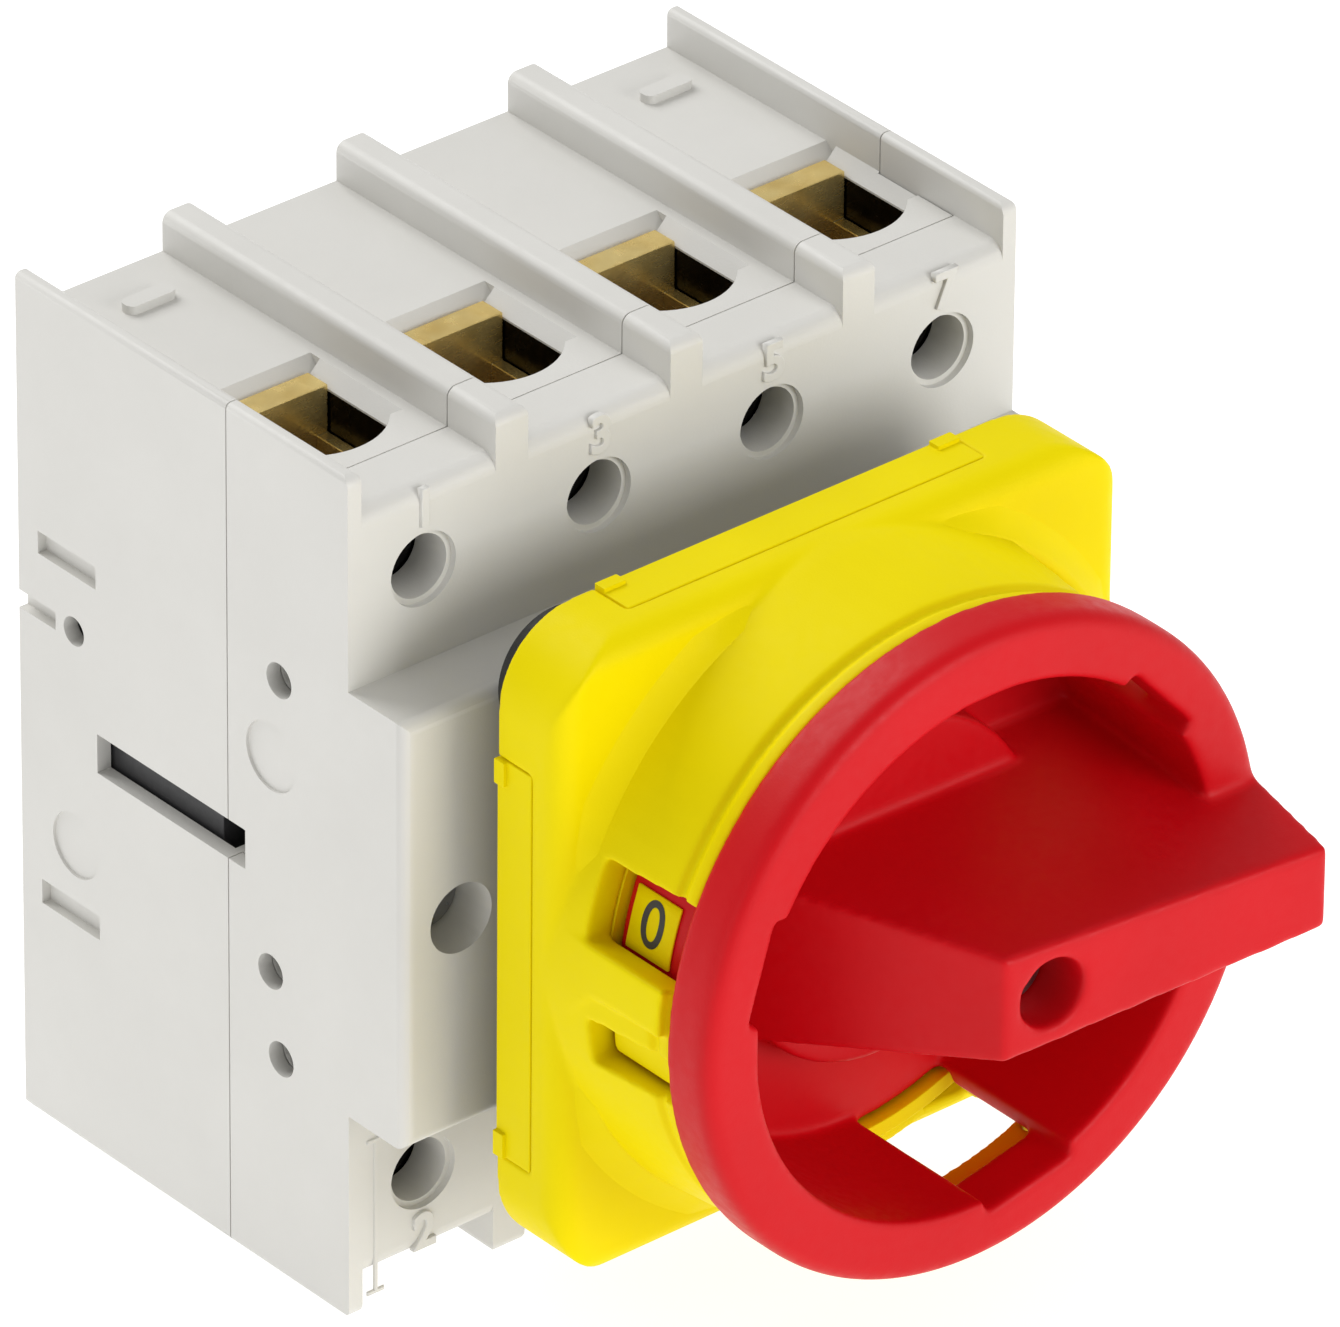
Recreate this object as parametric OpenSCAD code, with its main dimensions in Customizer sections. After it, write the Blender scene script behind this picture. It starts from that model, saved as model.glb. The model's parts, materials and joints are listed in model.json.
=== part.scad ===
// Rotary isolator switch, four poles, with a padlockable front handle.
// Origin: on the handle's axis, in the plane of the flat rear face.
// +X right, +Z up, and the handle faces -Y, so every depth below is
// measured forward from the rear face and drawn at negative Y.

/* [Body] */

// Width of the switch body across its side panels
body_w = 79.4; // [60:0.1:120]

// Height of the switch body over its ribs and side panels
body_h = 90; // [70:0.5:120]

// Depth from the rear face to the terminal faces
body_d = 48; // [36:0.5:70]

// Drop from the rib tops to the roof over each pole
bay_drop = 4; // [2:0.5:8]

// Thickness of a side panel
panel_t = 1.6; // [1.2:0.1:3]

// Width of a rib between two poles
rib_w = 3.8; // [2:0.1:6]

// Distance between neighbouring poles
pole_pitch = 20.6; // [16:0.1:30]

// General wall thickness
wall = 1.6; // [1.2:0.1:3]

// Height of the raised front block
block_h = 45.4; // [30:0.1:60]

// Depth of the raised front block
block_d = 8; // [4:0.5:16]

// Depth of the joint between the two shells on the side panels
seam_side = 30.7; // [20:0.1:40]

// Depth of the joint between the two shells on the roof
seam_top = 41.2; // [32:0.1:46]

// Rounding of the front edges of the roof
roof_edge_r = 1.8; // [0.5:0.1:2]

// Rounding of the front ends of the ribs and side panels
rib_end_r = 1.2; // [0.3:0.1:2]

// Rounding of the raised block's front edges
block_edge_r = 1.2; // [0.3:0.1:2]

// Open joint between the two shells
seam_gap = 0.15; // [0.05:0.05:0.4]

/* [Terminals] */

// Height of the terminal screws above and below the axis
screw_z = 32.35; // [26:0.05:40]

// Radius of a terminal screw's access hole
access_r = 3.25; // [2.5:0.05:4.5]

// Half width of a cable entry
entry_half_w = 5.8; // [4:0.1:7]

// Depth of a cable entry's rear edge
entry_back = 24.4; // [18:0.1:30]

// Depth of a cable entry's front corners
entry_front = 36.2; // [30:0.1:40]

// Radius of a terminal screw's thread
screw_r = 2.5; // [2:0.1:3]

/* [Mechanism] */

// Radius at which the crank pin runs
crank_r = 4.2; // [3:0.1:6]

// Side of the square drive shaft
shaft_w = 7; // [5:0.5:10]

// Radius of the detent wheel
detent_r = 14.5; // [10:0.5:18]

/* [Front] */

// Width and height of the cover plate
plate_w = 67; // [60:0.5:90]

// Depth at which the back of the cover plate lies
plate_back = 61.6; // [58:0.1:70]

// Thickness of the cover plate's rim
plate_t = 9; // [5:0.5:12]

// Radius of the collar at its front end
collar_r = 32.3; // [28:0.1:36]

// Outer radius of the handle's ring
ring_r = 33.3; // [28:0.1:40]

// Inner radius of the handle's ring
ring_inner_r = 27; // [20:0.1:32]

// Depth at which the front of the ring lies
ring_front = 90.8; // [80:0.1:100]

// Thickness of the handle's ring
ring_t = 5.8; // [3:0.1:10]

// Depth at which the front of the grip lies
grip_front = 102; // [94:0.5:115]

// Thickness of the grip bar at its front, in line with the axis
grip_t = 10; // [8:0.1:16]

// Thickness of the grip bar at its root in the cup
grip_root_t = 18.4; // [10:0.1:24]

// Width of a padlock window in the handle
lock_w = 10.4; // [8:0.1:14]

/* [Hidden] */

$fn = 64;
eps = 0.01;
half_w = body_w / 2;
half_h = body_h / 2;
roof_z = half_h - bay_drop;
poles = [for (i = [0 : 3]) (i - 1.5) * pole_pitch];
block_front = body_d + block_d;
tongue_x = half_w - panel_t - seam_gap;
cavity_x = 37;
rear_cavity_x = half_w - wall;
cavity_z = roof_z - wall;
shelf_z = 27.2;
front_wall = body_d - wall;

// Terminal clamp, measured from its own pole
cage_half_w = 5.7;
cage_rear_t = 2.8;
cage_back = entry_back + 0.2;
cage_front = cage_back + 11.6;
cage_low_z = 28.6;
cage_high_z = 35.2;
cage_tip_z = 40.2;
nut_t = 2.2;
head_r = 3.6;
head_t = 2;
head_back = cage_front + 4.5;
head_front = head_back + head_t;
tongue_front = cage_front - nut_t - 0.3;
tongue_t = 1.7;
screw_tip = tongue_front + 0.2;
mouth_r = access_r + 0.55;
mouth_t = 0.7;

// Contacts: the carrier's stroke follows from a quarter turn of the crank
stroke = 2 * crank_r * sin(45);
contact_back = 12;
contact_z = 17.6;
contact_x = 4.6;
finger_x = 7;
finger_front = contact_back + 9;
pad_t = 0.95;
pad_r = 2.4;
bar_t = 1.6;
moving_x = contact_x - 0.05 - stroke;
carrier_back = 25;
carrier_front = 27.6;
crank_back = 28.8;
crank_front = 32.2;
pin_r = 1.6;
hub_r = 7;
journal_r = 9.4;
journal_back = 53;
journal_front = 57.2;
wheel_back = 47.6;
wheel_front = 52.6;
post_x = -6.9;

// Front parts
plate_front = plate_back + plate_t;
plate_half = plate_w / 2;
plate_corner = 8.5;
collar_front = ring_front - ring_t - 0.5;
bore_r = 30;
cup_r = bore_r - 0.6;
floor_front = 72.2;
floor_back = 69.8;
// Padlock windows lie 120 degrees apart; the third shows the label
lock_angles = [42, -78];
label_angle = 163;
label_window_w = 8.2;
label_window_back = 73.1;
lock_lip = 3;
collar_lock_w = 15.2;
lobe_at = 24.2;
lobe_r = 6.4;
seal_t = 3.4;
strip_len = 42.4;
strip_shift = -1.1;
strip_t = 0.8;
strip_d = 4.8;
strip_gap = 0.06;
strip_tab = 2.6;
strip_tab_t = 0.4;
guide_r = 28.4;
guide_back = 68.6;
guide_mid = 70.9;
guide_front = 73.1;
rib_low = 0.8;
rib_high = 5.7;
rib_foot = -2.4;
blind_low = -6.9;
blind_high = -2;
blind_back = 73.9;

block_screw_x = 33.04;
block_screw_r = 3.6;
fix_x = pole_pitch;
fix_z = 33;
fix_r = 1.8;

light_grey = [0.86, 0.86, 0.83];
yellow = [0.93, 0.83, 0.02];
red = [0.78, 0.02, 0.05];
black = [0.06, 0.06, 0.06];
dark_grey = [0.25, 0.25, 0.26];
brass_colour = [0.8, 0.62, 0.25];
copper_colour = [0.75, 0.45, 0.3];
steel_colour = [0.7, 0.71, 0.73];

// A flat outline in X and Z, solid from one depth forward to another.
module slab(back, front) {
    translate([0, -back, 0]) rotate([90, 0, 0]) linear_extrude(height = front - back) children();
}

// A profile of radius and depth, turned about the handle's axis.
module turned(angle = 360) {
    rotate([90, 0, 0]) rotate_extrude(angle = angle) children();
}

// A box given by its two opposite corners, with depths in place of Y.
module block(x0, x1, back, front, z0, z1) {
    translate([x0, -front, z0]) cube([x1 - x0, front - back, z1 - z0]);
}

module bar_2d(x0, x1, z0, z1) {
    translate([x0, z0]) square([x1 - x0, z1 - z0]);
}

module rounded_rect_2d(w, h, r) {
    square([w - 2 * r, h], center = true);
    square([w, h - 2 * r], center = true);
    for (x = [-1, 1], z = [-1, 1]) translate([x * (w / 2 - r), z * (h / 2 - r)]) circle(r);
}

module top_and_bottom() {
    children();
    mirror([0, 0, 1]) children();
}

// ---- the two shells --------------------------------------------------

// The body's outline between the side panels: the roof and its ribs.
module core_2d(x) {
    bar_2d(-x, x, -roof_z, roof_z);
    for (rib = [-1 : 1]) translate([rib * pole_pitch, 0]) rounded_rect_2d(rib_w, body_h, 1);
}

module body_2d() {
    core_2d(half_w);
    for (s = [-1, 1]) translate([s * (half_w - panel_t / 2), 0]) rounded_rect_2d(panel_t, body_h, 0.6);
}

module pole_pocket_2d(x, z0, z1, limit) {
    bar_2d(max(x - 9.6, -limit), min(x + 9.6, limit), z0, z1);
}

module terminal_pocket_2d(x) {
    bar_2d(x - 6.1, x + 6.1, shelf_z + 0.1, cavity_z);
}

// A cable entry through the roof: straight at the back, bowed at the front.
module cable_entry(x) {
    bow = 2.7;
    bow_r = (entry_half_w * entry_half_w + bow * bow) / (2 * bow);
    translate([x, 0, shelf_z + 8]) linear_extrude(height = half_h) {
        translate([-entry_half_w, -entry_front]) square([2 * entry_half_w, entry_front - entry_back]);
        intersection() {
            translate([0, -entry_front - bow + bow_r]) circle(bow_r);
            translate([-entry_half_w, -entry_front - bow]) square([2 * entry_half_w, bow + 1]);
        }
    }
    entry_bevels(x);
}

// Sloping lead-ins round the back and sides of a cable entry.
module entry_bevels(x) {
    bevel = 1.4;
    translate([x - entry_half_w - bevel, -entry_back, roof_z]) rotate([90, 0, 90])
        linear_extrude(height = 2 * (entry_half_w + bevel))
            polygon([[-eps, -bevel], [bevel, 0], [bevel, 1], [-eps, 1]]);
    for (s = [-1, 1]) translate([x, -entry_back, roof_z]) rotate([90, 0, 0])
        linear_extrude(height = entry_front - entry_back)
            polygon([[s * (entry_half_w - eps), -bevel], [s * (entry_half_w + bevel), 0],
                     [s * (entry_half_w + bevel), 1], [s * (entry_half_w - eps), 1]]);
}

// Slots, vents and moulding marks on one side panel.
module side_marks() {
    for (s = [-1, 1]) {
        skin = s * half_w;
        // three short slots near the rear edge
        block(skin - 1, skin + 1, 2.9, 11.4, 16.5, 18.9);
        block(skin - 1, skin + 1, -1, 5.4, 9.4, 11.3);
        block(skin - 1, skin + 1, 2.9, 11.5, -21.4, -18.8);
        // round holes
        for (spot = [[8.1, 10.5, 1.5], [38.1, 19.3, 1.8], [36.7, -12.5, 1.8], [38.2, -21.3, 1.8]])
            translate([skin, -spot[0], spot[1]]) rotate([0, 90, 0])
                cylinder(h = 6, r = spot[2], center = true);
        // shallow round marks left by moulding pins
        for (spot = [[8.05, -12.7, 3.4], [36.9, 10.7, 3.6]])
            translate([skin, -spot[0], spot[1]]) rotate([0, 90, 0])
                cylinder(h = 0.6, r = spot[2], center = true);
    }
}

module side_slot() {
    for (s = [-1, 1]) translate([s * half_w, 0, 0]) block(-3, 3, 11.4, 33.1, -3.2, 1);
}

module rear_housing() {
    color(light_grey) difference() {
        union() {
            slab(0, seam_side - seam_gap) body_2d();
            slab(seam_side - seam_gap - eps, seam_top - seam_gap) core_2d(tongue_x);
            roof_tabs();
        }
        difference() {
            union() {
                for (x = poles) {
                    slab(wall, entry_back - 1.8) pole_pocket_2d(x, -cavity_z, cavity_z, rear_cavity_x);
                    slab(wall, seam_side - 1) pole_pocket_2d(x, 1 - shelf_z, shelf_z - 1, rear_cavity_x);
                    slab(wall, seam_top + 1) pole_pocket_2d(x, 1 - shelf_z, shelf_z - 1, cavity_x);
                }
            }
            fixing_bosses();
            block_screw_bosses();
        }
        top_and_bottom() {
            slab(entry_back - 0.2, seam_top + 1) for (x = poles) terminal_pocket_2d(x);
            for (x = poles) {
                cable_entry(x);
                block(x - 4.6, x + 4.6, tongue_front - tongue_t - 0.4, seam_top + 1, 20, shelf_z + 2);
            }
        }
        carrier_window();
        for (x = [-1, 1], z = [-1, 1]) slab(-1, 9) translate([x * fix_x, z * fix_z]) circle(fix_r);
        for (s = [-1, 1]) slab(30, seam_top + 1) translate([s * block_screw_x, 0]) circle(1.75);
        side_marks();
        side_slot();
    }
}

// Two small raised bars on the outer poles' roofs.
module roof_tabs() {
    for (x = [poles[0], poles[3]]) top_and_bottom()
        translate([x + 1.4, -6.7, roof_z]) 
            linear_extrude(height = 0.9) rounded_rect_2d(5.6, 1.9, 0.8);
}

// Columns behind the rear face that take the four fixing screws.
module fixing_bosses() {
    for (x = [-1, 1], z = [-1, 1]) slab(0, 13) translate([x * fix_x, z * fix_z]) circle(3.4);
}

module block_screw_bosses() {
    for (s = [-1, 1]) slab(29.2, seam_top - seam_gap) {
        translate([s * block_screw_x, 0]) circle(3.2);
        bar_2d(min(s * block_screw_x, s * half_w), max(s * block_screw_x, s * half_w), -2, 2);
    }
}

// The way through the walls between the poles for the contact carrier.
module carrier_window() {
    block(-30, 30, carrier_back - 0.6, seam_top + 1, -14, 14);
}

module front_housing() {
    color(light_grey) difference() {
        union() {
            slab(seam_top, body_d) body_2d();
            slab(seam_side, seam_top + eps) side_panels_2d();
            slab(body_d - eps, block_front) bar_2d(-half_w, half_w, -block_h / 2, block_h / 2);
        }
        difference() {
            slab(seam_side - 1, front_wall)
                for (x = poles) pole_pocket_2d(x, -cavity_z, cavity_z, cavity_x);
            top_and_bottom() for (x = poles) head_boss(x);
            screw_tubes();
        }
        block(-26, 26, seam_side, block_front - 2, -20.5, 20.5);
        slab(block_front - 3, block_front + 1) circle(journal_r + 0.05);
        top_and_bottom() for (x = poles) translate([x, 0, screw_z]) {
            slab(seam_side, head_front + 0.2) circle(head_r + 0.3);
            slab(head_front, body_d + 1) circle(access_r);
            slab(body_d - mouth_t, body_d + 1) circle(mouth_r);
        }
        for (s = [-1, 1]) {
            slab(48.5, block_front + 1) translate([s * block_screw_x, 0]) circle(block_screw_r);
            slab(seam_top - 1, block_front) translate([s * block_screw_x, 0]) circle(1.9);
        }
        front_edge_rounds();
        side_marks();
        side_slot();
    }
}

// The corner waste outside a quarter circle, for rounding an edge along X.
module corner_waste(x0, x1, depth, z, r) {
    translate([x0, -depth, z]) rotate([90, 0, 90]) linear_extrude(height = x1 - x0)
        difference() {
            translate([-1, -r]) square([r + 1, r + 1]);
            translate([r, -r]) circle(r);
        }
}

// Rounds the front edges of the roof, of the ribs' ends and of the block.
module front_edge_rounds() {
    bay_edges = [
        -half_w + panel_t,
        for (i = [-1 : 1]) each [i * pole_pitch - rib_w / 2, i * pole_pitch + rib_w / 2],
        half_w - panel_t
    ];
    top_and_bottom() {
        for (i = [0 : 2 : 6]) corner_waste(bay_edges[i], bay_edges[i + 1], body_d, roof_z, roof_edge_r);
        corner_waste(-half_w - 1, half_w + 1, body_d, half_h, rib_end_r);
        corner_waste(-half_w - 1, half_w + 1, block_front, block_h / 2, block_edge_r);
    }
    for (turn = [0, 180]) rotate([0, turn, 0]) rotate([0, 90, 0])
        corner_waste(-block_h, block_h, block_front, half_w, block_edge_r);
}

module side_panels_2d() {
    intersection() {
        body_2d();
        for (s = [-1, 1]) bar_2d(min(s * (half_w - panel_t), s * half_w),
                                 max(s * (half_w - panel_t), s * half_w), -half_h, half_h);
    }
}

// A tube behind the front wall that holds a terminal screw's head.
module head_boss(x) {
    slab(head_back + 0.1, front_wall + 1) translate([x, screw_z]) circle(head_r + 1.25);
}

module screw_tubes() {
    for (s = [-1, 1]) slab(seam_top, front_wall + 1) {
        translate([s * block_screw_x, 0]) circle(4.9);
        bar_2d(min(s * block_screw_x, s * half_w), max(s * block_screw_x, s * half_w), -3, 3);
    }
}

module block_screw(s) {
    color(steel_colour) translate([s * block_screw_x, 0, 0]) {
        difference() {
            slab(48.6, 51.4) circle(3.2);
            slab(50, 52) {
                square([4.2, 0.9], center = true);
                square([0.9, 4.2], center = true);
            }
        }
        slab(31, 48.61) circle(1.7);
    }
}

// ---- terminals -------------------------------------------------------

module cage(x) {
    color(brass_colour) difference() {
        union() {
            block(x - cage_half_w, x + cage_half_w, cage_back, cage_back + cage_rear_t,
                  cage_low_z, cage_tip_z);
            block(x - cage_half_w, x + cage_half_w, cage_back, cage_front, cage_low_z, cage_high_z);
        }
        block(x - cage_half_w + 1.3, x + cage_half_w - 1.3, cage_back + cage_rear_t, cage_front - nut_t,
              cage_low_z - 1, cage_high_z + 1);
        slab(cage_front - nut_t - 1, cage_front + 1) translate([x, screw_z]) circle(screw_r + 0.06);
    }
}

module terminal_screw(x) {
    color(steel_colour) difference() {
        union() {
            slab(screw_tip, head_back + eps) translate([x, screw_z]) circle(screw_r);
            slab(head_back, head_front) translate([x, screw_z]) circle(head_r);
        }
        slab(head_front - 1.2, head_front + 1) translate([x, screw_z]) {
            square([4.8, 1], center = true);
            square([1, 4.8], center = true);
        }
    }
}

// One fixed contact: terminal tongue, riser, upright finger and silver pad.
module fixed_contact(x) {
    color(copper_colour) {
        block(x - 4.2, x + 4.2, tongue_front - tongue_t, tongue_front, 22.2, 35);
        block(x - 4.2, x + 4.2, contact_back, tongue_front, 22.2, 24.2);
        block(x - 4.2, x + finger_x, contact_back, finger_front, 22.2, 24.2);
        block(x + contact_x + 1, x + finger_x, contact_back, finger_front, 14.8, 24.2);
    }
    color(steel_colour) translate([x + contact_x, -contact_back - 4.5, contact_z]) rotate([0, 90, 0])
        cylinder(h = 1 + eps, r = pad_r);
}

// ---- moving contacts -------------------------------------------------

module bridge(x) {
    color(copper_colour)
        block(x + moving_x - pad_t - bar_t, x + moving_x - pad_t,
              contact_back + 1.8, contact_back + 7.2, -20.2, 20.2);
    color(steel_colour) for (s = [-1, 1])
        translate([x + moving_x - pad_t - eps, -contact_back - 4.5, s * contact_z]) rotate([0, 90, 0])
            cylinder(h = pad_t + eps, r = pad_r);
}

// A bowed leaf between a bridge and its post.
module bridge_spring(x) {
    bow_r = 9.4;
    leaf_t = 0.35;
    half_len = 4;
    apex = x + moving_x - pad_t - bar_t - 0.1;
    color(steel_colour) translate([0, -contact_back - 6, 0]) rotate([90, 0, 0]) translate([0, 0, -3])
        linear_extrude(height = 3)
            intersection() {
                translate([apex - bow_r, 0]) difference() {
                    circle(bow_r);
                    circle(bow_r - leaf_t);
                }
                bar_2d(apex - 3, apex + 1, -half_len, half_len);
            }
}

module contact_carrier() {
    slot_w = 2 * (pin_r + 0.2);
    color(dark_grey) difference() {
        union() {
            block(poles[0] + post_x, poles[3] - 0.5, carrier_back, carrier_front, -11, 11);
            for (x = poles) block(x + post_x, x - 0.5, contact_back - 1.5, carrier_back + eps, -4.6, 4.6);
        }
        for (x = poles)
            block(x + post_x + 1.3, x + moving_x - pad_t + 0.2,
                  contact_back + 1.5, contact_back + 7.5, -6, 6);
        slab(carrier_back - 1, carrier_front + 1)
            translate([-crank_r * sin(45), 0]) bar_2d(-slot_w / 2, slot_w / 2, 0.9, 6.4);
        for (x = poles, s = [-1, 1]) slab(carrier_back - 1, carrier_front + 1)
            translate([x + 5.6, s * 7.6]) rounded_rect_2d(8, 4, 1);
    }
}

// ---- rotating parts inside -------------------------------------------

module rotor() {
    color(dark_grey) difference() {
        union() {
            slab(crank_back, crank_front) circle(12);
            slab(crank_front - eps, journal_back + eps) circle(hub_r);
            slab(journal_back, journal_front) circle(journal_r);
            slab(carrier_back + 0.3, crank_back + eps)
                translate([-crank_r * sin(45), crank_r * cos(45)]) circle(pin_r);
        }
        slab(36, journal_front + 1) square(shaft_w + 0.1, center = true);
    }
}

module detent_wheel() {
    color([0.9, 0.88, 0.8]) slab(wheel_back, wheel_front) difference() {
        circle(detent_r);
        circle(hub_r + 0.03);
        for (a = [0 : 90 : 270]) rotate(a) translate([detent_r + 1.4, 0]) circle(2.7);
    }
}

module detent_spring() {
    color(steel_colour) {
        slab(wheel_back + 1, wheel_front - 1) translate([0, detent_r + 1.4]) circle(2.5);
        slab(wheel_back + 0.5, wheel_front - 0.5) bar_2d(-13, 13, detent_r + 3.6, detent_r + 4.2);
    }
}

module drive_shaft() {
    color(steel_colour) difference() {
        slab(36.5, 84) square(shaft_w, center = true);
        slab(75, 85) circle(1.95);
    }
}

// ---- front parts -----------------------------------------------------

module seal_frame() {
    color(black) difference() {
        union() {
            slab(block_front, plate_back) rounded_rect_2d(50, 46, 6);
            slab(plate_back - seal_t, plate_back) {
                rounded_rect_2d(56, 42, 5);
                rounded_rect_2d(42, 56, 5);
                for (x = [-1, 1], z = [-1, 1]) translate([x * lobe_at, z * lobe_at]) circle(lobe_r);
            }
            slab(plate_back - eps, plate_back + 3) rounded_rect_2d(58, 58, 8);
        }
        slab(block_front - 1, plate_back + 4) circle(21);
        for (x = [-1, 1], z = [-1, 1]) {
            slab(block_front - 1, plate_back - seal_t + 1.2)
                translate([x * lobe_at, z * lobe_at]) circle(2.8);
            slab(block_front, plate_back + 4) translate([x * lobe_at, z * lobe_at]) circle(1.6);
        }
    }
}

module cover_screw(x, z) {
    color(steel_colour) translate([x * lobe_at, 0, z * lobe_at]) {
        slab(block_front + 0.4, plate_back - seal_t + 1.1) circle(2.6);
        slab(plate_back - seal_t + 1, plate_back + 6) circle(1.3);
    }
}

// The plate's outline, rounded along its front edges.
module plate_body() {
    edge = 2.6;
    intersection() {
        slab(plate_back, plate_front) rounded_rect_2d(plate_w, plate_w, plate_corner);
        plate_edge_prism(edge, 0);
        plate_edge_prism(edge, 90);
    }
}

module plate_edge_prism(edge, turn) {
    rotate([0, turn, 0]) translate([-plate_half - 1, 0, 0]) rotate([90, 0, 90])
        linear_extrude(height = plate_w + 2) {
            translate([-plate_front + edge, -plate_half]) square([plate_t - edge, plate_w]);
            translate([-plate_front, -plate_half + edge]) square([plate_t, plate_w - 2 * edge]);
            for (s = [-1, 1]) translate([-plate_front + edge, s * (plate_half - edge)]) circle(edge);
        }
}

// The collar: straight below, a little narrower and grooved at its front.
module collar_profile() {
    polygon([
        [bore_r + 1, plate_back + 4], [plate_half, plate_back + 4], [plate_half, plate_front],
        [collar_r + 0.15, collar_front - 2.6], [collar_r - 0.5, collar_front - 2.4],
        [collar_r - 0.5, collar_front - 1.8], [collar_r, collar_front - 1.6],
        [collar_r, collar_front], [bore_r, collar_front], [bore_r, plate_back + 4]
    ]);
}

// A straight cut outwards at an angle round the axis, set off sideways.
module lock_window(angle, r0, r1, back, front, side, w) {
    rotate([0, -angle, 0]) block(r0, r1, back, front, side - w / 2, side + w / 2);
}

module collar_cut(angle, back, front, side, w) {
    lock_window(angle, bore_r - 2, plate_half + 3, back, front, side, w);
}

module cover_plate() {
    color(yellow) difference() {
        union() {
            plate_body();
            turned() collar_profile();
            side_rib();
        }
        slab(plate_back - 1, plate_back + 4.2) rounded_rect_2d(61, 61, 7);
        slab(plate_back - 1, collar_front + 1) circle(bore_r);
        for (a = lock_angles) {
            collar_cut(a, plate_front, collar_front - lock_lip, 0, collar_lock_w);
            collar_cut(a, collar_front - 2.2, collar_front - 0.9, collar_lock_w / 2 - 0.7, 2);
        }
        collar_cut(label_angle, label_window_back, collar_front + 1, 0, label_window_w);
        blind_window();
        for (x = [-1, 1], z = [-1, 1])
            slab(plate_back + 3, plate_back + 7) translate([x * lobe_at, z * lobe_at]) circle(1.35);
        for (turn = [0 : 90 : 270]) rotate([0, turn, 0]) strip_recess();
    }
}

// The flat rib between the two side windows, wider where it joins the plate.
module side_rib() {
    intersection() {
        translate([-plate_half, 0, 0]) rotate([90, 0, 90]) linear_extrude(height = plate_half - bore_r)
            polygon([[-plate_front + 1, rib_foot], [-plate_front - 1, rib_foot],
                     [-plate_front - 4, rib_low], [-collar_front + 0.4, rib_low],
                     [-collar_front + 0.4, rib_high], [-plate_front + 1, rib_high]]);
        slab(plate_front - 2, collar_front) circle(plate_half);
    }
}

// A window below the rib, closed by a tongue with a gap behind and below it.
module blind_window() {
    gap = 0.7;
    difference() {
        block(-plate_half - 2, -bore_r + 3, blind_back, collar_front - 0.3, blind_low, blind_high);
        intersection() {
            slab(plate_front, collar_front) circle(bore_r + 1);
            block(-plate_half, -bore_r + 4, blind_back + gap, collar_front,
                  blind_low + gap, blind_high + 1);
        }
    }
}

// A shallow pocket for a label strip in the plate's rim, open at the back.
module strip_recess() {
    block(strip_shift - strip_len / 2, strip_shift + strip_len / 2, plate_back - 1, plate_back + strip_d,
          plate_half - strip_t, plate_half + 1);
}

// A label strip with a small raised tab at each end.
module label_strip(turn) {
    end = strip_len / 2 - strip_gap;
    color(yellow) rotate([0, turn, 0]) translate([strip_shift, 0, 0]) {
        block(-end, end, plate_back, plate_back + strip_d - strip_gap,
              plate_half - strip_t + 0.02, plate_half);
        for (x = [-end, end - strip_tab])
            block(x, x + strip_tab, plate_back, plate_back + 1.4,
                  plate_half - eps, plate_half + strip_tab_t);
    }
}

// A ring inside the collar that the handle's cup turns against.
module inner_ring(back, front) {
    turned() translate([guide_r, back]) square([bore_r - 0.02 - guide_r, front - back]);
}

// The grip bar: its blunt end slopes up from the cup's floor, and the
// pointing end runs over the ring.
module grip() {
    root = -floor_front + 1;
    high_end = ring_r - 0.6;
    intersection() {
        translate([0, 0, -20]) linear_extrude(height = 40)
            polygon([[-21.7, root], [-5.5, -grip_front + 2.4], [ring_r - 2, -grip_front],
                     [high_end, -ring_front], [high_end, root]]);
        union() {
            slab(floor_front - 2, ring_front - 1.9) circle(ring_inner_r + 0.8);
            slab(ring_front - 2, grip_front + 1) circle(ring_r + 8);
        }
        grip_flank(root);
        mirror([0, 0, 1]) grip_flank(root);
    }
}

// Everything below the grip's upper flank, which slopes two ways.
module grip_flank(root) {
    taper = 1.3;
    rotate([0, taper, 0]) translate([-40, 0, 0]) rotate([90, 0, 90]) linear_extrude(height = 80)
        polygon([[-grip_front, -30], [-grip_front, grip_t / 2], [root, grip_root_t / 2], [root, -30]]);
}

module handle_profile() {
    edge = 1.6;
    polygon([[ring_inner_r - 1, floor_back], [guide_r - 0.35, floor_back],
             [guide_r - 0.35, guide_front + 0.35],
             [cup_r, guide_front + 0.35], [cup_r, ring_front - ring_t],
             [ring_r, ring_front - ring_t], [ring_r, ring_front - edge], [ring_r - edge, ring_front],
             [ring_inner_r, ring_front], [ring_inner_r, floor_front], [ring_inner_r - 1, floor_front]]);
    translate([ring_r - edge, ring_front - edge]) circle(edge);
}

module handle() {
    color(red) difference() {
        union() {
            turned() handle_profile();
            slab(floor_back, floor_front) circle(ring_inner_r);
            slab(floor_front - eps, 77) circle(17.5);
            slab(62, floor_back + eps) circle(8.5);
            grip();
        }
        slab(91.8, grip_front + 1) circle(3.5);
        slab(80, 93) circle(2.05);
        slab(61, 84.3) square(shaft_w + 0.1, center = true);
        for (a = lock_angles) {
            lock_window(a, 24, ring_inner_r + 1, floor_front, ring_front + 1, 0, lock_w);
            lock_window(a, 24, ring_r - 2, floor_front, ring_front - ring_t, 0, lock_w);
        }
        lock_window(label_angle, 24, ring_inner_r + 0.9, 80, ring_front + 1, 0, lock_w);
    }
}

module handle_screw() {
    color(steel_colour) difference() {
        union() {
            slab(76.5, 91.9) circle(1.9);
            slab(91.85, 94.4) circle(3.3);
        }
        slab(93, 95) {
            square([4.4, 1], center = true);
            square([1, 4.4], center = true);
        }
    }
}

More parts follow.
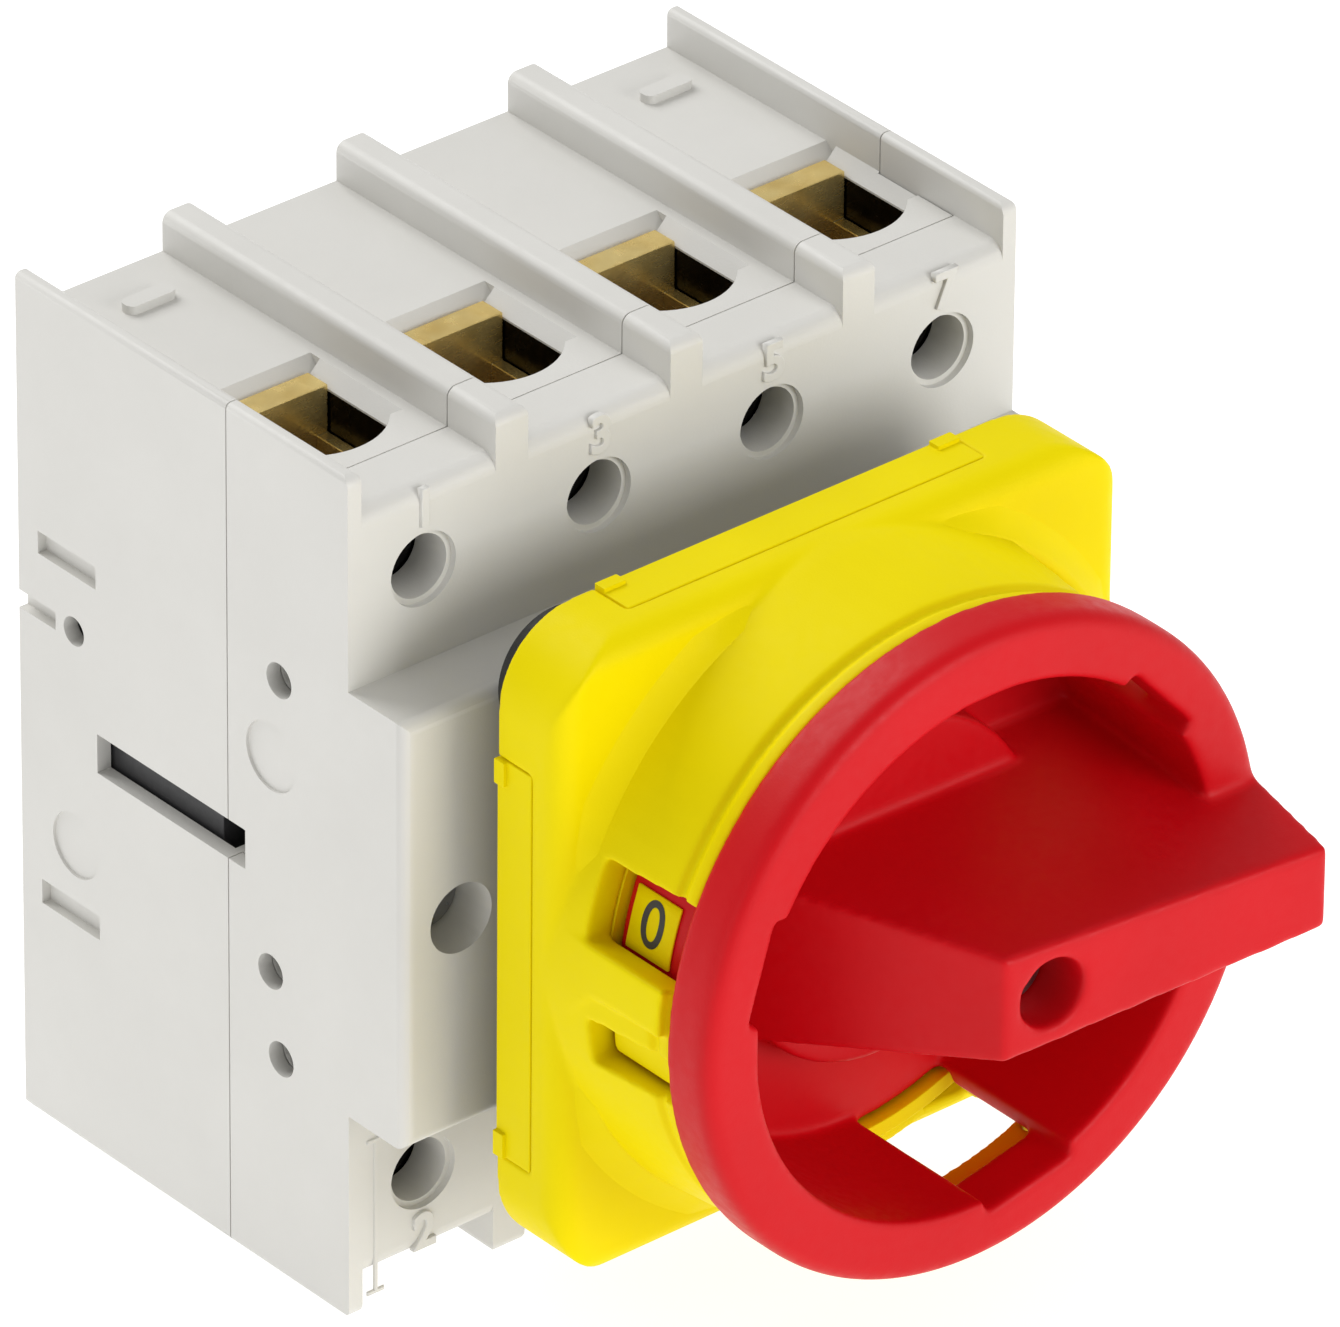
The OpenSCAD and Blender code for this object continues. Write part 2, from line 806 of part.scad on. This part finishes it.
// A position label on the handle's cup, behind the collar's side window.
module position_label(angle) {
    color(yellow) rotate([90, 0, 0]) rotate([0, 0, angle - 6]) rotate_extrude(angle = 12)
        translate([cup_r, guide_front + 1.5]) square([0.25, 6]);
}

rear_housing();
front_housing();
block_screw(-1);  // block_screw_left
block_screw(1);  // block_screw_right
for (i = [0 : 3]) {
    fixed_contact(poles[i]);
    mirror([0, 0, 1]) fixed_contact(poles[i]);
    cage(poles[i]);
    mirror([0, 0, 1]) cage(poles[i]);
    terminal_screw(poles[i]);
    mirror([0, 0, 1]) terminal_screw(poles[i]);
    bridge(poles[i]);
    bridge_spring(poles[i]);
    cover_screw(i % 2 == 0 ? -1 : 1, i < 2 ? 1 : -1);
}
seal_frame();
cover_plate();
color(black) inner_ring(guide_back, guide_mid);  // collar_seal
color(yellow) inner_ring(guide_mid, guide_front);  // guide_ring
label_strip(0);  // label_strip_top
label_strip(90);  // label_strip_right
label_strip(180);  // label_strip_bottom
label_strip(270);  // label_strip_left
detent_spring();  // detent_spring_top
mirror([0, 0, 1]) detent_spring();  // detent_spring_bottom
handle();
handle_screw();
position_label(label_angle + 2);  // off_label
position_label(label_angle + 92);  // on_label
drive_shaft();
rotor();
detent_wheel();
contact_carrier();
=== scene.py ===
"""Looks of the rotary isolator switch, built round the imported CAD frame.

Lengths are in metres in the part's own frame: the origin is on the handle's
axis in the plane of the rear face, +X is right, +Z is up, and the handle
faces -Y. A depth is a distance in front of the rear face, along -Y.
"""
import json
import math

import bmesh
import bpy
from mathutils import Matrix, Vector


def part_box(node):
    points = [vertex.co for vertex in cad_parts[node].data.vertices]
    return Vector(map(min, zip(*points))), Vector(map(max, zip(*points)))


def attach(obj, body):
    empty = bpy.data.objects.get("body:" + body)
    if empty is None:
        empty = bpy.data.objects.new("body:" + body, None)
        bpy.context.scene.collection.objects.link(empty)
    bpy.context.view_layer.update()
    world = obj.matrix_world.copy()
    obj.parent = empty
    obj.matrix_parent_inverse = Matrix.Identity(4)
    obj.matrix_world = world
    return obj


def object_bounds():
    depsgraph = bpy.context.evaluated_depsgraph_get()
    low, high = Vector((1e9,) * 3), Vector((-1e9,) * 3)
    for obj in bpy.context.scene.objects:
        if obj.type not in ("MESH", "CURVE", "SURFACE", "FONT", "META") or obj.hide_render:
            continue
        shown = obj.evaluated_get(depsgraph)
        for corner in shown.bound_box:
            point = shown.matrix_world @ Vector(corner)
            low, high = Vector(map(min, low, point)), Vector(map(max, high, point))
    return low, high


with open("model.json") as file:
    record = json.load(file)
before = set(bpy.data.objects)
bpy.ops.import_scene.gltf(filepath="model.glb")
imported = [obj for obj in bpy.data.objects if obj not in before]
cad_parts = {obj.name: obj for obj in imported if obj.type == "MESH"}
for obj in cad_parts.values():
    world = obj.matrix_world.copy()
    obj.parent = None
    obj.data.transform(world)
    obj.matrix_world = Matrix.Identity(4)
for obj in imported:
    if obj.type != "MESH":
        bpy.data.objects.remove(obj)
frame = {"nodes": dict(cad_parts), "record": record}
CAD_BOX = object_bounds()

MM = 0.001
NODES = frame["nodes"]
FLOOR_Z = CAD_BOX[0].z


# ---- materials ---------------------------------------------------------

MOTTLE_SCALE = 60
SHEEN_SCALE = 900
GRAIN_SCALE = 4200
GRAIN_DEPTH = 0.04 * MM
STREAK_SCALE = 700
TARNISH_SCALE = 250
STREAK_DEPTH = 0.05 * MM


def new_material(name):
    """A node material, its tree and shader, and a helper to add nodes."""
    material = bpy.data.materials.new(name)
    material.use_nodes = True
    tree = material.node_tree
    shader = tree.nodes["Principled BSDF"]

    def add(kind, **settings):
        node = tree.nodes.new(kind)
        for key, value in settings.items():
            setattr(node, key, value)
        return node

    return material, tree, shader, add


def noise(tree, add, coords, scale, detail=2.0, roughness=0.5):
    """Noise over the given coordinates."""
    node = add("ShaderNodeTexNoise")
    node.inputs["Scale"].default_value = scale
    node.inputs["Detail"].default_value = detail
    node.inputs["Roughness"].default_value = roughness
    tree.links.new(coords, node.inputs["Vector"])
    return node.outputs["Fac"]


def remap(tree, add, value, low, high):
    """Spreads the middle of a noise's range over low to high."""
    node = add("ShaderNodeMapRange")
    node.inputs["From Min"].default_value = 0.3
    node.inputs["From Max"].default_value = 0.7
    node.inputs["To Min"].default_value = low
    node.inputs["To Max"].default_value = high
    tree.links.new(value, node.inputs["Value"])
    return node.outputs["Result"]


def colour_between(tree, add, factor, first, second):
    """A colour that goes from first to second with the factor."""
    node = add("ShaderNodeMix", data_type="RGBA")
    node.inputs["A"].default_value = (*first, 1)
    node.inputs["B"].default_value = (*second, 1)
    tree.links.new(factor, node.inputs["Factor"])
    return node.outputs["Result"]


def add_bump(tree, add, shader, height, strength, distance):
    """Links a height to the shader's normal."""
    node = add("ShaderNodeBump")
    node.inputs["Strength"].default_value = strength
    node.inputs["Distance"].default_value = distance
    tree.links.new(height, node.inputs["Height"])
    tree.links.new(node.outputs["Normal"], shader.inputs["Normal"])


def moulded_plastic(name, base, shade, rough=(0.42, 0.55), grain=0.25, specular=0.5):
    """Spark-eroded moulded plastic: fine grain, faint mottling and a soft sheen."""
    material, tree, shader, add = new_material(name)
    coords = add("ShaderNodeTexCoord").outputs["Object"]
    mottle = remap(tree, add, noise(tree, add, coords, MOTTLE_SCALE, 3), 0, 1)
    tree.links.new(colour_between(tree, add, mottle, base, shade), shader.inputs["Base Color"])
    sheen = remap(tree, add, noise(tree, add, coords, SHEEN_SCALE), *rough)
    tree.links.new(sheen, shader.inputs["Roughness"])
    grains = noise(tree, add, coords, GRAIN_SCALE, roughness=0.6)
    add_bump(tree, add, shader, grains, grain, GRAIN_DEPTH)
    shader.inputs["Specular IOR Level"].default_value = specular
    return material


def metal(name, base, shade, rough=(0.18, 0.35), streak=(1, 1, 1), metallic=1.0):
    """Bare metal with fine drawn streaks and a little tarnish."""
    material, tree, shader, add = new_material(name)
    coords = add("ShaderNodeTexCoord").outputs["Object"]
    mapping = add("ShaderNodeMapping")
    mapping.inputs["Scale"].default_value = streak
    tree.links.new(coords, mapping.inputs["Vector"])
    streaks = noise(tree, add, mapping.outputs["Vector"], STREAK_SCALE, 3)
    tarnish = remap(tree, add, noise(tree, add, coords, TARNISH_SCALE, 3), 0, 1)
    tree.links.new(colour_between(tree, add, tarnish, base, shade), shader.inputs["Base Color"])
    tree.links.new(remap(tree, add, streaks, *rough), shader.inputs["Roughness"])
    add_bump(tree, add, shader, streaks, 0.15, STREAK_DEPTH)
    shader.inputs["Metallic"].default_value = metallic
    return material


GREY = moulded_plastic(
    "light_grey_plastic", (0.70, 0.69, 0.655), (0.67, 0.66, 0.625), specular=0.35)
YELLOW = moulded_plastic(
    "yellow_plastic", (0.87, 0.72, 0.0), (0.84, 0.69, 0.0), grain=0.3, specular=0.06)
RED = moulded_plastic(
    "red_plastic", (0.60, 0.001, 0.006), (0.56, 0.001, 0.005),
    rough=(0.40, 0.52), grain=0.3, specular=0.2)
BLACK = moulded_plastic(
    "black_rubber", (0.012, 0.012, 0.012), (0.02, 0.02, 0.02), rough=(0.5, 0.7))
DARK = moulded_plastic("dark_plastic", (0.03, 0.03, 0.032), (0.04, 0.04, 0.042))
NATURAL = moulded_plastic("natural_plastic", (0.62, 0.58, 0.48), (0.58, 0.54, 0.44))
BRASS = metal(
    "brass", (0.95, 0.74, 0.30), (0.80, 0.56, 0.17),
    rough=(0.14, 0.3), streak=(1, 1, 6), metallic=0.75)
COPPER = metal("copper", (0.45, 0.27, 0.17), (0.33, 0.19, 0.11))
STEEL = metal("zinc_steel", (0.42, 0.43, 0.44), (0.3, 0.3, 0.31), rough=(0.25, 0.45))
# Blacked steel for the terminal screws; the entry sheets use it too, as painted shade inside the
# cable entries.
BLACKED_STEEL_AND_SHADE = metal(
    "blacked_steel_and_painted_shade", (0.05, 0.05, 0.052), (0.025, 0.025, 0.026), rough=(0.18, 0.3))

SLOT_MATERIALS = {
    "light_grey_plastic": GREY,
    "yellow_plastic": YELLOW,
    "red_plastic": RED,
    "black_rubber": BLACK,
    "dark_plastic": DARK,
    "natural_plastic": NATURAL,
    "brass": BRASS,
    "copper": COPPER,
    "steel": STEEL,
}


# ---- the CAD's pieces --------------------------------------------------

# Edge radius of the shells and the seal, and of every other bevelled piece
BEVEL_WIDTHS = {"rear_housing": 0.35 * MM, "front_housing": 0.35 * MM, "seal_frame": 0.3 * MM}
SMALL_BEVEL = 0.12 * MM
BEVEL_ANGLE = math.radians(32)

# Pieces with soft corners everywhere: cell size and number of smoothing passes
SKINNED = {"cover_plate": (0.25 * MM, 10), "handle": (0.25 * MM, 45)}
WELD_DISTANCE = 0.01 * MM


def set_material(obj, material):
    obj.data.materials.clear()
    obj.data.materials.append(material)


def add_weld(obj):
    weld = obj.modifiers.new("weld", "WELD")
    weld.merge_threshold = WELD_DISTANCE


def soften_edges(obj, width, segments):
    """Welds the CAD mesh and rounds its sharp edges as a mould would."""
    add_weld(obj)
    bevel = obj.modifiers.new("rounded_edges", "BEVEL")
    bevel.width = width
    bevel.segments = segments
    bevel.limit_method = "ANGLE"
    bevel.angle_limit = BEVEL_ANGLE
    bevel.use_clamp_overlap = True
    bevel.harden_normals = True
    bevel.miter_outer = "MITER_ARC"


def mould_skin(obj, cell, passes):
    """Rebuilds a piece as an even fine skin and relaxes it, which rounds every corner."""
    add_weld(obj)
    skin = obj.modifiers.new("skin", "REMESH")
    skin.mode = "VOXEL"
    skin.voxel_size = cell
    skin.use_smooth_shade = True
    relax = obj.modifiers.new("relax", "SMOOTH")
    relax.factor = 0.5
    relax.iterations = passes


def dress_cad_nodes():
    """Gives every CAD node its slot's material and its rounded edges."""
    for part in frame["record"]["subparts"]:
        node = part["node"]
        obj = NODES[node]
        if node.startswith(("line_screw", "load_screw")):
            set_material(obj, BLACKED_STEEL_AND_SHADE)
        else:
            set_material(obj, SLOT_MATERIALS[part["material_slot"]])
        if node in SKINNED:
            mould_skin(obj, *SKINNED[node])
        elif node in BEVEL_WIDTHS:
            soften_edges(obj, BEVEL_WIDTHS[node], segments=3)
        else:
            soften_edges(obj, SMALL_BEVEL, segments=2)


# ---- added pieces ------------------------------------------------------

def add_piece(name, mesh, material, body, smooth=True):
    """Puts a mesh in the scene as a piece that moves with one of the CAD bodies."""
    obj = bpy.data.objects.new(name, mesh)
    mesh.materials.clear()
    mesh.materials.append(material)
    if smooth:
        mesh.shade_smooth()
    bpy.context.scene.collection.objects.link(obj)
    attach(obj, body)
    return obj


def finish_mesh(name, work):
    """Turns a mesh being built into a finished one."""
    mesh = bpy.data.meshes.new(name)
    work.to_mesh(mesh)
    work.free()
    return mesh


def tube_mesh(name, rows):
    """A closed solid over rows of points, each row a closed outline."""
    across = len(rows[0])
    work = bmesh.new()
    verts = [[work.verts.new(point) for point in row] for row in rows]
    for row, after in zip(verts, verts[1:]):
        for j in range(across):
            k = (j + 1) % across
            work.faces.new((row[j], row[k], after[k], after[j]))
    work.faces.new(verts[0])
    work.faces.new(verts[-1][::-1])
    bmesh.ops.recalc_face_normals(work, faces=work.faces)
    return finish_mesh(name, work)


def round_axis(radius, depth, angle):
    """The point at a radius and an angle round the handle's axis; 0 is +X, 90 degrees +Z."""
    return Vector((radius * math.cos(angle), -depth, radius * math.sin(angle)))


# The collar's base, as the CAD draws it
PLATE_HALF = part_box("cover_plate")[1].x
PLATE_FRONT = 70.6 * MM
PLATE_EDGE_R = 2.6 * MM
COLLAR_SLOPE = 0.09

# Fillets at the collar's foot: reach over the plate, height up the collar and
# half angle; the rest are how far they sink in and how they thin out
FLARE_REACH = 3.4 * MM
FLARE_HEIGHT = 1.9 * MM
FLARE_HALF_ANGLE = math.radians(42)
FLARE_STEPS = 64
FLARE_ARC_STEPS = 14
FLARE_CURVE = 1.7
FLARE_SINK = 0.25 * MM
FLARE_SKIN = 0.05 * MM
FLARE_ROOT = 1.2 * MM
FLARE_OVERRUN = 1.1 * MM
FLARE_FULL_REACH = 1.4 * MM


def collar_radius(depth):
    return PLATE_HALF - COLLAR_SLOPE * (depth - PLATE_FRONT)


def flare_row(angle):
    """The fillet's outline at one angle round the axis."""
    flat_end = (PLATE_HALF - PLATE_EDGE_R) / max(abs(math.cos(angle)), abs(math.sin(angle)))
    reach = max(0.0, min(FLARE_REACH, flat_end - PLATE_HALF + FLARE_OVERRUN))
    height = FLARE_HEIGHT * min(1.0, reach / FLARE_FULL_REACH)
    foot = PLATE_FRONT - FLARE_SINK
    row = [round_axis(PLATE_HALF - FLARE_ROOT, foot, angle)]
    for j in range(FLARE_ARC_STEPS + 1):
        along = j / FLARE_ARC_STEPS
        depth = foot + height * along ** FLARE_CURVE
        out = reach * (1 - along) - FLARE_SKIN
        row.append(round_axis(collar_radius(depth) + out, depth, angle))
    top_radius = collar_radius(PLATE_FRONT + height) - FLARE_ROOT
    row.append(round_axis(top_radius, foot + height, angle))
    return row


def make_collar_flares():
    """Four leaf-shaped fillets that carry the plate's corners up into the collar."""
    for corner in range(4):
        middle = math.radians(45 + 90 * corner)
        angles = [
            middle + FLARE_HALF_ANGLE * (2 * i / FLARE_STEPS - 1)
            for i in range(FLARE_STEPS + 1)
        ]
        mesh = tube_mesh(f"collar_flare_{corner + 1}", [flare_row(angle) for angle in angles])
        add_piece(mesh.name, mesh, YELLOW, "switch_body")


FONT_CAP_SHARE = 0.7
NUMERAL_EDGE = 0.08 * MM


def numeral_mesh(name, text, height, relief, stroke):
    """A numeral as a solid mesh, drawn in X and Z and raised towards -Y."""
    curve = bpy.data.curves.new(name, "FONT")
    curve.body = text
    curve.align_x = "CENTER"
    curve.align_y = "CENTER"
    curve.size = height / FONT_CAP_SHARE
    curve.extrude = relief
    curve.offset = stroke
    curve.bevel_depth = min(NUMERAL_EDGE, relief)
    curve.bevel_resolution = 1
    source = bpy.data.objects.new(name + "_source", curve)
    bpy.context.scene.collection.objects.link(source)
    bpy.context.view_layer.update()
    shape = source.evaluated_get(bpy.context.evaluated_depsgraph_get())
    mesh = bpy.data.meshes.new_from_object(shape)
    mesh.name = name
    bpy.data.objects.remove(source)
    mesh.transform(Matrix.Rotation(math.radians(90), 4, "X"))
    return mesh


POLES = 4
POLE_PITCH = 20.6 * MM
TERMINAL_FACE = 48 * MM
NUMERAL_Z = 38.7 * MM
NUMERAL_HEIGHT = 3.7 * MM
NUMERAL_RELIEF = 0.28 * MM
NUMERAL_STROKE = 0.11 * MM


def terminals():
    """Each terminal's number, middle in X and side: 1 above and -1 below."""
    for pole in range(POLES):
        x = (pole - (POLES - 1) / 2) * POLE_PITCH
        yield 2 * pole + 1, x, 1
        yield 2 * pole + 2, x, -1


def make_terminal_numerals():
    """Raised numbers on the terminal faces: odd above, even below."""
    for number, x, side in terminals():
        mesh = numeral_mesh(
            f"terminal_mark_{number}", str(number), NUMERAL_HEIGHT, NUMERAL_RELIEF, NUMERAL_STROKE)
        mesh.transform(Matrix.Translation((x, -TERMINAL_FACE, side * NUMERAL_Z)))
        add_piece(mesh.name, mesh, GREY, "switch_body", smooth=False)


# The pocket behind each cable entry, and the black sheet that lines it: painted shade for the dark
# inside of the entry, and a stand-in for the black clamp there
POCKET_HALF_W = 6.1 * MM
POCKET_TOP = 39.4 * MM
SHADE_SHEET_GAP = 0.06 * MM
SHADE_SHEET_T = 0.2 * MM
SHADE_SHEET_EDGE = 0.05 * MM
SHADE_SHEET_BACK = 26 * MM
SHADE_SHEET_FRONT = 39.2 * MM
SHADE_SHEET_LOW = 29.8 * MM
SHADE_SHEET_LIP_LOW = 36.9 * MM


def add_block(work, x_ends, depth_ends, z_ends):
    """Adds a box to a mesh being built, from its ends along each axis in any order."""
    ends = [x_ends, [-depth for depth in depth_ends], z_ends]
    middle = Vector([(a + b) / 2 for a, b in ends])
    size = [abs(b - a) for a, b in ends]
    place = Matrix.Translation(middle) @ Matrix.Diagonal((*size, 1))
    bmesh.ops.create_cube(work, size=1, matrix=place)


def make_entry_guards():
    """A black sheet lining the sides and front of each cable entry: painted shade for the dark
    inside of the entry, and a stand-in for the black clamp there.
    """
    outer = POCKET_HALF_W - SHADE_SHEET_GAP
    inner = outer - SHADE_SHEET_T
    top = POCKET_TOP - SHADE_SHEET_GAP
    for number, x, side in terminals():
        work = bmesh.new()
        cheek_z = (side * SHADE_SHEET_LOW, side * top)
        add_block(work, (x - outer, x - inner), (SHADE_SHEET_BACK, SHADE_SHEET_FRONT), cheek_z)
        add_block(work, (x + inner, x + outer), (SHADE_SHEET_BACK, SHADE_SHEET_FRONT), cheek_z)
        lip_z = (side * SHADE_SHEET_LIP_LOW, side * top)
        add_block(work, (x - inner, x + inner), (SHADE_SHEET_FRONT - SHADE_SHEET_T, SHADE_SHEET_FRONT), lip_z)
        bmesh.ops.bevel(work, geom=work.edges[:], offset=SHADE_SHEET_EDGE, segments=2, affect="EDGES")
        mesh = finish_mesh(f"entry_shade_sheet_{number}", work)
        add_piece(mesh.name, mesh, BLACKED_STEEL_AND_SHADE, "switch_body", smooth=False)


GAUGE_X = -36.6 * MM
GAUGE_LOW = -43.2 * MM
GAUGE_HIGH = -26.2 * MM
GAUGE_LINE = 0.45 * MM
GAUGE_TICK = 2.0 * MM
GAUGE_RELIEF = 0.22 * MM
GAUGE_SINK = 0.05 * MM
GAUGE_EDGE = 0.08 * MM


def make_strip_gauge():
    """The raised strip-length gauge beside a lower terminal: a bar with a tick at each end."""
    tick, half, low, high = GAUGE_TICK / 2, GAUGE_LINE / 2, GAUGE_LOW, GAUGE_HIGH
    right_side = [
        (tick, low), (tick, low + GAUGE_LINE), (half, low + GAUGE_LINE),
        (half, high - GAUGE_LINE), (tick, high - GAUGE_LINE), (tick, high),
    ]
    outline = right_side + [(-x, z) for x, z in reversed(right_side)]
    y = GAUGE_SINK - TERMINAL_FACE
    work = bmesh.new()
    face = work.faces.new([work.verts.new((GAUGE_X + x, y, z)) for x, z in outline])
    raised = bmesh.ops.extrude_face_region(work, geom=[face])
    tops = [item for item in raised["geom"] if isinstance(item, bmesh.types.BMVert)]
    bmesh.ops.translate(work, vec=(0, -GAUGE_RELIEF, 0), verts=tops)
    bmesh.ops.recalc_face_normals(work, faces=work.faces)
    top_edges = [edge for edge in work.edges if all(vert in tops for vert in edge.verts)]
    bmesh.ops.bevel(work, geom=top_edges, offset=GAUGE_EDGE, segments=2, affect="EDGES")
    mesh = finish_mesh("strip_gauge", work)
    add_piece("strip_gauge", mesh, GREY, "switch_body", smooth=False)


LABEL_FACE_R = 29.68 * MM
MARK_HEIGHT = 4.6 * MM
MARK_RELIEF = 0.01 * MM
MARK_STROKE = 0.03 * MM
MARK_ROWS = 24


def slice_rows(mesh, height, count):
    """Cuts a numeral into level rows, so that it can be bent without chords."""
    work = bmesh.new()
    work.from_mesh(mesh)
    for i in range(1, count):
        level = Vector((0, 0, height * (i / count - 0.5)))
        everything = work.verts[:] + work.edges[:] + work.faces[:]
        bmesh.ops.bisect_plane(work, geom=everything, plane_co=level, plane_no=(0, 0, 1))
    work.to_mesh(mesh)
    work.free()


def make_position_marks():
    """The dark 0 and 1 on the handle's two position labels, bent round the cup."""
    for node, text in (("off_label", "0"), ("on_label", "1")):
        low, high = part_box(node)
        middle = (low + high) / 2
        angle = math.atan2(middle.z, middle.x)
        mesh = numeral_mesh(node + "_mark", text, MARK_HEIGHT, MARK_RELIEF, MARK_STROKE)
        slice_rows(mesh, MARK_HEIGHT, MARK_ROWS)
        # the figure's height runs round the cup and its width along the axis
        for vertex in mesh.vertices:
            across, out, along = vertex.co.x, -vertex.co.y / 2, vertex.co.z
            turned = angle - along / LABEL_FACE_R
            vertex.co = round_axis(LABEL_FACE_R + out, -middle.y + across, turned)
        add_piece(mesh.name, mesh, DARK, "handle_body", smooth=False)


# ---- stage, camera and lights ------------------------------------------

AZIMUTH = math.radians(-40.40)
ELEVATION = math.radians(31.246)
ROLL = math.radians(0.54)
CAMERA_DISTANCE = 1.5966
SENSOR_WIDTH = 36
FOCAL_LENGTH = 466.066

# The point the camera looks at, from the middle of the terminal faces
BODY_FRONT_CENTRE = Vector((0.3 * MM, -TERMINAL_FACE, 0))
TARGET_LEFT = 1.48 * MM
TARGET_UP = 8.87 * MM

WORLD_STRENGTH = 0.45
FLOOR_HALF = 3.0
FLOOR_GLOW = 0.78
LIGHT_AIM = Vector((0, -0.05, 0))
LIGHT_LAYOUT = (
    # name, place, size, power
    ("key_behind", (-0.1, 1.05, 1.05), 1.1, 17),
    ("front", (0.35, -1.45, 0.40), 0.8, 11),
    ("left", (-1.45, -0.25, 0.25), 0.8, 1.9),
)


def camera_axes():
    """Right, up and backward directions of the camera before it rolls."""
    back = Vector((
        math.sin(AZIMUTH) * math.cos(ELEVATION),
        -math.cos(AZIMUTH) * math.cos(ELEVATION),
        math.sin(ELEVATION),
    ))
    right = Vector((math.cos(AZIMUTH), math.sin(AZIMUTH), 0))
    return right, back.cross(right), back


def make_camera():
    right, up, back = camera_axes()
    rolled_right = right * math.cos(ROLL) + up * math.sin(ROLL)
    rolled_up = up * math.cos(ROLL) - right * math.sin(ROLL)
    target = BODY_FRONT_CENTRE - right * TARGET_LEFT + up * TARGET_UP
    camera = bpy.data.objects.new("camera", bpy.data.cameras.new("camera"))
    camera.data.sensor_width = SENSOR_WIDTH
    camera.data.lens = FOCAL_LENGTH
    camera.data.clip_start = 0.1
    camera.data.clip_end = 20
    axes = Matrix((rolled_right, rolled_up, back)).transposed()
    camera.matrix_world = Matrix.Translation(target + back * CAMERA_DISTANCE) @ axes.to_4x4()
    bpy.context.scene.collection.objects.link(camera)
    bpy.context.scene.camera = camera


def make_floor():
    """A pale floor that glows a little, so that it stays white under the part."""
    material, tree, shader, add = new_material("pale_floor")
    coords = add("ShaderNodeTexCoord").outputs["Object"]
    tint = remap(tree, add, noise(tree, add, coords, 3), 0, 1)
    pale = colour_between(tree, add, tint, (0.55, 0.55, 0.55), (0.54, 0.54, 0.54))
    tree.links.new(pale, shader.inputs["Base Color"])
    shader.inputs["Roughness"].default_value = 0.8
    shader.inputs["Specular IOR Level"].default_value = 0.1
    shader.inputs["Emission Color"].default_value = (1, 1, 1, 1)
    shader.inputs["Emission Strength"].default_value = FLOOR_GLOW
    mesh = bpy.data.meshes.new("floor")
    corners = [(-1, -1), (1, -1), (1, 1), (-1, 1)]
    points = [(FLOOR_HALF * x, FLOOR_HALF * y, FLOOR_Z) for x, y in corners]
    mesh.from_pydata(points, [], [(0, 1, 2, 3)])
    floor = bpy.data.objects.new("floor", mesh)
    floor.data.materials.append(material)
    bpy.context.scene.collection.objects.link(floor)


def area_light(name, place, size, power):
    """A square light aimed at the part."""
    light = bpy.data.lights.new(name, "AREA")
    light.shape = "SQUARE"
    light.size = size
    light.energy = power
    obj = bpy.data.objects.new(name, light)
    obj.location = place
    obj.rotation_euler = (LIGHT_AIM - Vector(place)).to_track_quat("-Z", "Y").to_euler()
    bpy.context.scene.collection.objects.link(obj)


def make_lights():
    world = bpy.data.worlds.new("studio")
    world.use_nodes = True
    background = world.node_tree.nodes["Background"]
    background.inputs["Color"].default_value = (1, 1, 1, 1)
    background.inputs["Strength"].default_value = WORLD_STRENGTH
    scene = bpy.context.scene
    scene.world = world
    for layout in LIGHT_LAYOUT:
        area_light(*layout)
    scene.view_settings.view_transform = "Standard"
    scene.view_settings.look = "None"


make_camera()
make_floor()
make_lights()
dress_cad_nodes()
make_collar_flares()
make_terminal_numerals()
# black sheets in the cable entries, painted shade for their dark insides
make_entry_guards()
make_strip_gauge()
make_position_marks()
